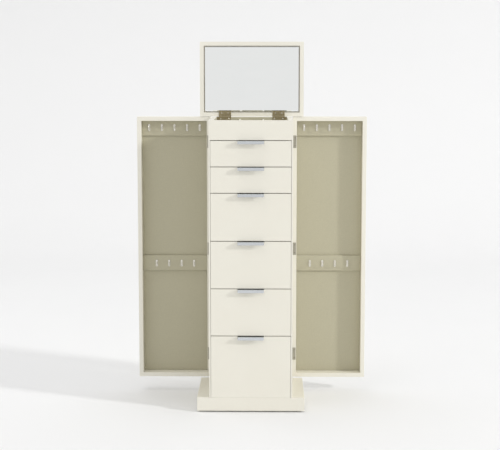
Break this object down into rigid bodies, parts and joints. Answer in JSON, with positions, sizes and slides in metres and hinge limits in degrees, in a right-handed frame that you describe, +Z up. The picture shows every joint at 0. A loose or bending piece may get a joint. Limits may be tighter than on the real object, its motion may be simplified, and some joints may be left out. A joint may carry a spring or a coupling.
{
  "type": "jewelry armoire",
  "caption": "Tall narrow jewelry cabinet with lined side doors carrying hooks, a mirrored lid over a divided tray, and a stack of drawers with tab pulls.",
  "frame": {"origin": "on the floor, under the middle of the box that the open cabinet fills", "axes": "+X to the viewer's right, +Y to the rear, +Z up; the drawers face -Y"},
  "size_m": [0.8766, 0.3482, 1.3542],
  "materials": {
    "lacquer": "cream satin lacquer over engineered wood",
    "glide": "dark moulded glide",
    "mirror": "silvered glass",
    "backing": "dark backing board",
    "pull_metal": "brushed metal tab",
    "drawer_wood": "sealed cream drawer box",
    "runner_wood": "waxed hardwood runner",
    "lining_fabric": "sage-beige woven lining",
    "hook_nickel": "polished nickel",
    "pin_steel": "steel pin",
    "hinge_metal": "aged bronze-coloured hinge"
  },
  "bodies": {
    "cabinet": {"back_panel": "lacquer", "base_panel": "lacquer", "compartment_dividers": "lacquer", "compartment_floor": "lacquer", "compartment_lining": "lining_fabric", "door_hinge_body_leaves": "hinge_metal", "door_hinge_pins": "pin_steel", "drawer_runners": "runner_wood", "left_side_panel": "lacquer", "lid_hinge_lower_leaves": "hinge_metal", "lid_hinge_pins": "pin_steel", "plinth_boards": "lacquer", "plinth_glides": "glide", "plinth_top": "lacquer", "right_side_panel": "lacquer", "top_front_panel": "lacquer"},
    "left_door": {"left_door_frame": "lacquer", "left_door_hinge_leaves": "hinge_metal", "left_door_hook_bars": "lining_fabric", "left_door_hooks": "hook_nickel", "left_door_lining": "lining_fabric", "left_door_panel": "lacquer"},
    "right_door": {"right_door_frame": "lacquer", "right_door_hinge_leaves": "hinge_metal", "right_door_hook_bars": "lining_fabric", "right_door_hooks": "hook_nickel", "right_door_lining": "lining_fabric", "right_door_panel": "lacquer"},
    "lid": {"lid_frame": "lacquer", "lid_panel": "lacquer", "lid_mirror": "mirror", "mirror_backing": "backing", "lid_hinge_upper_leaves": "hinge_metal"},
    "drawer_1": {"drawer_1_box": "drawer_wood", "drawer_1_front": "lacquer", "drawer_1_lining": "lining_fabric", "drawer_1_pull": "pull_metal"},
    "drawer_2": {"drawer_2_box": "drawer_wood", "drawer_2_front": "lacquer", "drawer_2_lining": "lining_fabric", "drawer_2_pull": "pull_metal"},
    "drawer_3": {"drawer_3_box": "drawer_wood", "drawer_3_front": "lacquer", "drawer_3_lining": "lining_fabric", "drawer_3_pull": "pull_metal"},
    "drawer_4": {"drawer_4_box": "drawer_wood", "drawer_4_front": "lacquer", "drawer_4_lining": "lining_fabric", "drawer_4_pull": "pull_metal"},
    "drawer_5": {"drawer_5_box": "drawer_wood", "drawer_5_front": "lacquer", "drawer_5_lining": "lining_fabric", "drawer_5_pull": "pull_metal"},
    "drawer_6": {"drawer_6_box": "drawer_wood", "drawer_6_front": "lacquer", "drawer_6_lining": "lining_fabric", "drawer_6_pull": "pull_metal"}
  },
  "joints": [
    {"name": "left_door_hinge", "type": "hinge", "parent": "cabinet", "child": "left_door", "pos_m": [-0.153, 0.12712, 0.563], "axis": [0, 0, 1], "range_deg": [-15, 90]},
    {"name": "right_door_hinge", "type": "hinge", "parent": "cabinet", "child": "right_door", "pos_m": [0.153, 0.12712, 0.563], "axis": [0, 0, -1], "range_deg": [-15, 90]},
    {"name": "lid_hinge", "type": "hinge", "parent": "cabinet", "child": "lid", "pos_m": [0, 0.12387, 1.0722], "axis": [1, 0, 0], "range_deg": [0, 90]},
    {"name": "drawer_1_slide", "type": "slide", "parent": "cabinet", "child": "drawer_1", "axis": [0, -1, 0], "range_m": [0, 0.17]},
    {"name": "drawer_2_slide", "type": "slide", "parent": "cabinet", "child": "drawer_2", "axis": [0, -1, 0], "range_m": [0, 0.17]},
    {"name": "drawer_3_slide", "type": "slide", "parent": "cabinet", "child": "drawer_3", "axis": [0, -1, 0], "range_m": [0, 0.17]},
    {"name": "drawer_4_slide", "type": "slide", "parent": "cabinet", "child": "drawer_4", "axis": [0, -1, 0], "range_m": [0, 0.17]},
    {"name": "drawer_5_slide", "type": "slide", "parent": "cabinet", "child": "drawer_5", "axis": [0, -1, 0], "range_m": [0, 0.17]},
    {"name": "drawer_6_slide", "type": "slide", "parent": "cabinet", "child": "drawer_6", "axis": [0, -1, 0], "range_m": [0, 0.17]}
  ]
}
